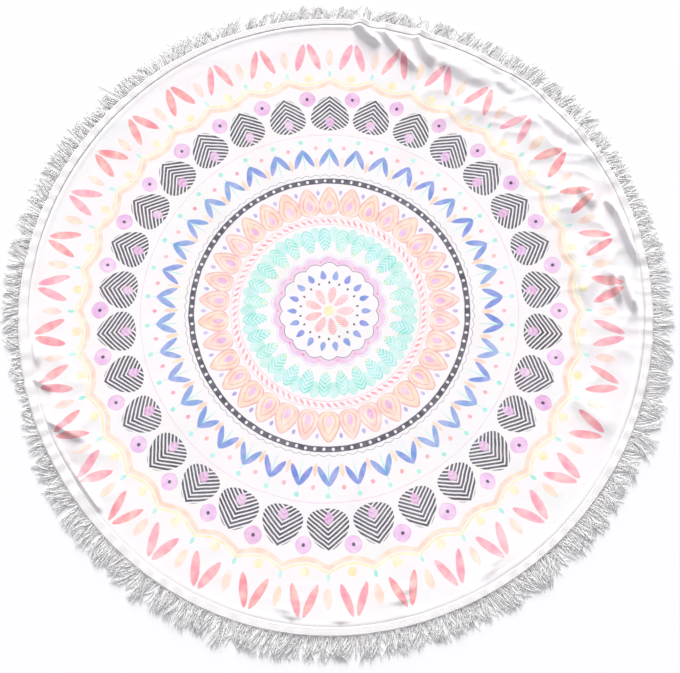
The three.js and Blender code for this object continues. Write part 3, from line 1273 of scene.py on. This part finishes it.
@dataclass
class HeadingTape:
    """The woven tape over the cloth's edge, and the two rows of stitches through it.

    Lengths are in metres. The rows' places are shares of the tape's width, and a stitch's run, rise and girth
    are given at the points along it: shares of its length, heights over the tape and shares of its radius.
    """

    lay: Lay
    sectors: int = 1440
    profile_points: int = 7
    thickness: float = 0.0011
    edge_thinning: float = 0.75
    inner_wander: Relief = Relief(0.045, 83, 0.0010)
    outer_wander: Relief = Relief(0.016, 89, 0.0010)
    sink: float = 0.0002
    outer_droop: float = 0.0002
    stitch_pitch: float = 0.0039
    stitch_gap: float = 0.0007
    stitch_radius: float = 0.00034
    stitch_sides: int = 5
    stitch_places: tuple[float, float] = (0.11, 0.84)
    stitch_run: tuple[float, ...] = (0.0, 0.16, 0.5, 0.84, 1.0)
    stitch_rise: tuple[float, ...] = (-0.0004, 0.0002, 0.0003, 0.0002, -0.0004)
    stitch_girth: tuple[float, ...] = (0.7, 1.0, 1.0, 1.0, 0.7)

    def level(self, angle: Array, radius: Array) -> Array:
        """Height of the tape's underside, on the cloth."""
        return self.lay.lift(angle, radius) + self.lay.cloth_thickness - self.sink

    def build_tape(self) -> bpy.types.Object:
        """Makes the tape: a flat section with rounded edges, carried once round the towel.

        The section's height falls towards its edges with the eighth power of the distance from its middle.

        Returns:
            The tape's object, with a UV map that runs round and across it.
        """
        angle = np.arange(self.sectors) * 2 * math.pi / self.sectors
        across = np.linspace(0, 1, self.profile_points)
        top = self.thickness * (1 - self.edge_thinning * (2 * across - 1) ** 8)
        share = np.concatenate([across, across[::-1]])
        height = np.concatenate([top, np.zeros(self.profile_points)]) - self.outer_droop * share**2
        run = angle * self.lay.cloth_radius
        inner = self.lay.band_inner(angle) + self.inner_wander.centred(run)
        outer = self.lay.tape_outer + self.outer_wander.centred(run)
        radius = inner + (outer - inner) * share[:, None]
        around = np.broadcast_to(angle, radius.shape)
        x, y = self.lay.spot(around, radius)
        z = self.level(around, radius) + height[:, None]
        quads = ring_quads(len(share), self.sectors, closed=True)
        tape = MeshData(np.stack([x, y, z], axis=-1).reshape(-1, 3), quads).to_object("heading_band")
        across_tape = np.broadcast_to(share[:, None], radius.shape)
        lay_uv(tape, TAPE_RUN, np.stack([around / (2 * math.pi), across_tape], axis=-1).reshape(-1, 2))
        return tape

    def build_stitches(self) -> bpy.types.Object:
        """Makes both rows of stitches: short threads that dip into the tape at their ends.

        Returns:
            The stitches' object.
        """
        count = int(2 * math.pi * self.lay.cloth_radius / self.stitch_pitch)
        start = np.arange(count)[:, None] * 2 * math.pi / count
        length = (self.stitch_pitch - self.stitch_gap) / self.lay.cloth_radius
        angle = start + np.array(self.stitch_run) * length
        inner = self.lay.band_inner(angle)
        rows = []
        for place in self.stitch_places:
            radius = inner + (self.lay.tape_outer - inner) * place
            x, y = self.lay.spot(angle, radius)
            rise = self.thickness - self.outer_droop * place**2 + np.array(self.stitch_rise)
            rows.append(np.stack([x, y, self.level(angle, radius) + rise], axis=-1))
        paths = np.concatenate(rows)
        radii = np.broadcast_to(self.stitch_radius * np.array(self.stitch_girth), paths.shape[:2])
        stitches = tubes(paths, radii, self.stitch_sides).to_object("tape_stitches")
        dress_yarns(stitches, paths, self.stitch_sides, np.zeros(len(paths)))
        return stitches


@dataclass
class Fringe:
    """The fringe: tassels of fine yarns whose heads are caught under the tape, over a layer of loose yarns.

    Lengths are in metres, leans in degrees, bends in radians and the spread of the middles in shares of their
    pitch. A spread is the deviation of a random draw, and a range holds its lowest and highest value.
    """

    lay: Lay
    seed: int = 1207
    tassels: int = 216
    tassel_yarns: int = 14
    loose_yarns: int = 6
    quarters: int = 4
    points: int = 7
    sides: int = 5
    yarn_radius: float = 0.00125
    head_radius: float = 0.0008
    head_share: float = 0.25
    taper_start: float = 0.4
    tip_share: float = 0.4
    head_inset: float = 0.006
    settled_at: float = 0.4
    half_width: float = 0.0080
    width_range: Span = (0.8, 1.1)
    head_width: float = 0.5
    spread_width: float = 0.9
    height_range: Span = (0.7, 1.15)
    head_height: float = 0.0010
    body_height: float = 0.0029
    tip_height: float = 0.0018
    rise_start: float = 0.16
    rise_run: float = 0.5
    fall_start: float = 0.35
    loose_height: float = 0.0014
    twist: float = 2.0
    twist_range: Span = (0.6, 1.4)
    middle_spread: float = 0.1
    loose_middle_spread: float = 0.3
    brushed: Relief = Relief(0.11, 97, 14.0)
    lean_spread: float = 8.0
    yarn_lean_spread: float = 2.5
    bend_spread: float = 0.24
    yarn_bend_spread: float = 0.08
    stray_spread: float = 0.0035
    loose_lean_spread: float = 7.0
    loose_bend_spread: float = 0.3
    loose_brushed: float = 1.2
    strays: float = 0.15
    stray_lean: float = 18.0
    longer: float = 0.008
    reach_spread: float = 0.004
    uneven_ends: float = 0.0130
    loose_shorter: float = 0.003
    loose_reach_spread: float = 0.006
    lean_shortening: float = 0.6
    curl: float = 0.0012
    curl_waves: Span = (0.4, 1.2)
    loose_curl_waves: Span = (0.5, 1.4)
    girth_range: Span = (0.8, 1.0)
    tufts: tuple[Stretch, ...] = (
        Stretch(120, 6, 10),
        Stretch(140, 5, -11),
        Stretch(176, 9, 5),
        Stretch(197, 18, -17),
        Stretch(219, 9, 7),
        Stretch(25, 9, -6),
        Stretch(327, 7, -6),
    )

    def along(self) -> Array:
        """Shares of a yarn's length at which its points lie."""
        return np.linspace(0, 1, self.points)

    def reach(self, angle: Array) -> Array:
        """Radius that the tips reach at an angle."""
        swells = sum(swell.at(angle) for swell in self.lay.tip_swells)
        return self.lay.fringe_reach + swells + MM * sum(tuft.at(angle) for tuft in self.tufts)

    def shared(self, angle: Array) -> Array:
        """Lean in radians that neighbours share, as they were brushed one way or the other."""
        return np.radians(self.brushed.centred(angle * self.lay.tape_outer))

    def curled(self, waves: Array, start: Array) -> Array:
        """Small wave aside of each yarn, of so many waves and starting at a share of one."""
        return self.curl * np.sin(2 * math.pi * (self.along() * waves + start))

    def fan(self) -> Array:
        """Width of a tassel along its length: half a sine wave on top of the width of its head."""
        return self.head_width + self.spread_width * np.sin(0.5 * math.pi * self.along())

    def pile(self) -> Array:
        """Height of a tassel along its length: low under the tape, full past it, and flat at its tip.

        It rises from the head's height to the body's and falls to the tip's by half cosines.

        Returns:
            The height in metres at each point of a yarn.
        """
        along = self.along()
        full = soft_fall(1 - np.clip((along - self.rise_start) / self.rise_run, 0, 1))
        settled = soft_fall(1 - np.clip((along - self.fall_start) / (1 - self.fall_start), 0, 1))
        body = full * (self.body_height - self.head_height) * (1 - settled)
        return self.head_height + body + settled * (self.tip_height - self.head_height)

    def route(self, middle: Array, turned: Array, aside: Array, above: Array, longer: Array) -> Array:
        """Routes of yarns that leave the tape's outer edge and lie out to their tips.

        A yarn's place at a share of its length is its straight run, turned aside by its lean, plus its own
        offset aside. Its height passes softly from under the tape to its height above the floor.

        Args:
            middle: Angle round the towel at which each yarn starts.
            turned: Lean at each point in radians.
            aside: Offset aside at each point in metres.
            above: Height above the floor at each point in metres.
            longer: What each yarn is longer than its neighbours, in metres.

        Returns:
            Points in metres, with the last axis for x, y and z.
        """
        start = self.lay.tape_outer - self.head_inset
        run = (self.reach(middle) - start + longer) * self.along()
        out = start + run * np.cos(self.lean_shortening * turned)
        angle = middle + (run * np.sin(turned) + aside) / out
        x, y = self.lay.spot(angle, out)
        held = self.lay.lift(angle, np.full_like(angle, self.lay.tape_inner))
        settle = soft_fall(1 - np.clip(self.along() / self.settled_at, 0, 1))
        return np.stack([x, y, held * (1 - settle) + above], axis=-1)

    def tassel_paths(self, rng: np.random.Generator) -> Array:
        """Routes of the tassels' yarns, which wind slowly round the middle of their tassel.

        Args:
            rng: Source of the unevenness.

        Returns:
            Points in metres, shaped (tassels, yarns, points, 3).
        """
        one, each = (self.tassels, 1, 1), (self.tassels, self.tassel_yarns, 1)
        along = self.along()
        pitch = 2 * math.pi / self.tassels
        middle = np.arange(self.tassels) + 0.5 + rng.normal(0, self.middle_spread, self.tassels)
        middle = (middle * pitch).reshape(one)
        lean = rng.normal(0, self.lean_spread, one) + rng.normal(0, self.yarn_lean_spread, each)
        lean = self.shared(middle) + np.radians(lean)
        bend = rng.normal(0, self.bend_spread, one) + rng.normal(0, self.yarn_bend_spread, each)
        wound = rng.uniform(0, 2 * math.pi, each) + self.twist * rng.uniform(*self.twist_range, one) * along
        far = np.sqrt(rng.random(each))
        spread = self.half_width * rng.uniform(*self.width_range, one) * self.fan()
        aside = spread * far * np.cos(wound) + rng.normal(0, self.stray_spread, each) * along**2
        aside = aside + self.curled(rng.uniform(*self.curl_waves, each), rng.random(each))
        height = self.pile() * rng.uniform(*self.height_range, one)
        above = self.yarn_radius + height * (0.5 + 0.5 * far * np.sin(wound))
        longer = rng.normal(0, self.reach_spread, one) - np.abs(rng.normal(0, self.uneven_ends, each))
        middle = np.broadcast_to(middle, each)
        return self.route(middle, lean + bend * along, aside, above, longer + self.longer)

    def loose_paths(self, rng: np.random.Generator) -> Array:
        """Routes of the loose yarns that lie flat on the floor under and between the tassels.

        Args:
            rng: Source of the unevenness.

        Returns:
            Points in metres, shaped (tassels, yarns, points, 3).
        """
        each = (self.tassels, self.loose_yarns, 1)
        along = self.along()
        count = self.tassels * self.loose_yarns
        pitch = 2 * math.pi / count
        middle = np.arange(count) + 0.5 + rng.normal(0, self.loose_middle_spread, count)
        middle = (middle * pitch).reshape(each)
        stray = self.stray_lean * rng.normal(0, 1, each) * (rng.random(each) < self.strays)
        lean = np.radians(rng.normal(0, self.loose_lean_spread, each) + stray)
        lean = lean + self.loose_brushed * self.shared(middle)
        bend = rng.normal(0, self.loose_bend_spread, each)
        aside = along * self.curled(rng.uniform(*self.loose_curl_waves, each), rng.random(each))
        above = self.yarn_radius + self.loose_height * rng.random(each) * np.sin(math.pi * along) ** 2
        longer = rng.normal(-self.loose_shorter, self.loose_reach_spread, each)
        return self.route(middle, lean + bend * along, aside, above, longer)

    def build(self) -> list[bpy.types.Object]:
        """Makes the fringe in quarters, so that each is a mesh of moderate size.

        Returns:
            One object for each quarter.
        """
        rng = np.random.default_rng(self.seed)
        paths = np.concatenate([self.tassel_paths(rng), self.loose_paths(rng)], axis=1)
        along = self.along()
        grown = np.clip(along / self.head_share, 0, 1)
        worn = np.clip((along - self.taper_start) / (1 - self.taper_start), 0, 1)
        profile = self.head_radius + (self.yarn_radius - self.head_radius) * grown
        profile = profile * (1 - (1 - self.tip_share) * worn)
        pieces = []
        for quarter, part in enumerate(np.array_split(paths, self.quarters)):
            yarns = part.reshape(-1, self.points, 3)
            radii = profile * rng.uniform(*self.girth_range, (len(yarns), 1))
            piece = tubes(yarns, radii, self.sides).to_object(f"fringe_quarter_{quarter + 1}")
            dress_yarns(piece, yarns, self.sides, rng.random(len(yarns)) ** 2)
            pieces.append(piece)
        return pieces


# Studio


@dataclass
class Sun:
    """One soft light from far away. Angles are in degrees, its azimuth anticlockwise from +X."""

    name: str
    azimuth: float
    elevation: float
    softness: float
    strength: float
    colour: tuple[float, float, float] = (1.0, 0.985, 0.96)

    def build(self) -> None:
        """Makes the light, turned to shine from its azimuth and elevation at the middle of the towel."""
        turn, rise = math.radians(self.azimuth), math.radians(self.elevation)
        towards = Vector((math.cos(turn) * math.cos(rise), math.sin(turn) * math.cos(rise), math.sin(rise)))
        data = bpy.data.lights.new(self.name, "SUN")
        data.energy = self.strength
        data.angle = math.radians(self.softness)
        data.color = self.colour
        sun = bpy.data.objects.new(self.name, data)
        sun.location = towards
        sun.rotation_euler = towards.to_track_quat("Z", "Y").to_euler()
        bpy.context.scene.collection.objects.link(sun)


@dataclass
class Studio:
    """Plain pale floor, soft daylight from beyond the towel, and the camera at the photograph's angle."""

    floor_half: float = 6.0
    tilt: float = 12.8
    distance: float = 2.332
    focal_pixels: float = 980.0
    image_width: float = 680.0
    sensor: float = 36.0
    look_at: tuple[float, float, float] = (0.012, -0.0767, 0.0)
    suns: tuple[Sun, ...] = (Sun("key", 93.0, 21.0, 30.0, 4.8), Sun("low", 100.0, 9.0, 22.0, 2.4))
    sky: float = 0.62
    sky_colour: Colour = (0.94, 0.93, 1.0, 1.0)

    def build_floor(self) -> bpy.types.Object:
        """Makes the floor: one flat square, just under the lowest yarns.

        Returns:
            The floor's object.
        """
        half = self.floor_half
        corners = np.array([[-half, -half, 0], [half, -half, 0], [half, half, 0], [-half, half, 0]])
        floor = MeshData(corners, np.array([[0, 1, 2, 3]])).to_object("floor", smooth=False)
        return floor

    def build_camera(self) -> None:
        """Makes the camera: tilted back from straight down, looking at the middle of the picture."""
        data = bpy.data.cameras.new("camera")
        data.lens = self.focal_pixels / self.image_width * self.sensor
        data.sensor_width = self.sensor
        camera = bpy.data.objects.new("camera", data)
        tilt = math.radians(self.tilt)
        back = Vector((0.0, -math.sin(tilt), math.cos(tilt)))
        camera.location = Vector(self.look_at) + back * self.distance
        camera.rotation_euler = (tilt, 0.0, 0.0)
        bpy.context.scene.collection.objects.link(camera)
        bpy.context.scene.camera = camera

    def build_lights(self) -> None:
        """Makes the soft key light, a lower and weaker one that draws long soft shadows, and the pale sky."""
        for sun in self.suns:
            sun.build()
        world = bpy.data.worlds.new("sky")
        world.use_nodes = True
        ground = world.node_tree.nodes["Background"]
        ground.inputs["Color"].default_value = self.sky_colour
        ground.inputs["Strength"].default_value = self.sky
        bpy.context.scene.world = world
        bpy.context.scene.view_settings.view_transform = "Standard"


def finish_piece(piece: bpy.types.Object, node: str, slot: str, *materials: bpy.types.Material) -> None:
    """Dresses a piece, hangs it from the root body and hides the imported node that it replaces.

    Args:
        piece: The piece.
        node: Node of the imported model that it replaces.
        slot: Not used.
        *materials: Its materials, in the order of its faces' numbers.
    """
    for material in materials:
        piece.data.materials.append(material)
    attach(piece, "root")
    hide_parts(node)
    LOG.info("%s: %d faces", piece.name, len(piece.data.polygons))


def main() -> None:
    """Builds the towel and its studio in order and reports each piece."""
    logging.basicConfig(level=logging.INFO, format="%(name)s %(message)s")
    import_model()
    lay, effects = Lay(), Effects()
    studio = Studio()
    studio.build_camera()
    studio.build_lights()
    floor = studio.build_floor()
    floor.data.materials.append(PaleFloor().build(effects))

    cloth = Cloth(lay).build()
    finish_piece(cloth, "cloth", "printed_cloth", PrintedNap().build(effects), TerryBack().build(effects))
    heading = HeadingTape(lay)
    tape = heading.build_tape()
    finish_piece(tape, "heading_tape", "tape", TapeWeave().build(effects))
    stitches = heading.build_stitches()
    thread = YarnTwist(name="stitching thread", winds=900.0).build(effects)
    finish_piece(stitches, "heading_tape", "tape", thread)
    yarn = YarnTwist().build(effects)
    quarters = Fringe(lay).build()
    for quarter in quarters:
        finish_piece(quarter, "fringe", "fringe_yarn", yarn)


if __name__ == "__main__":
    main()
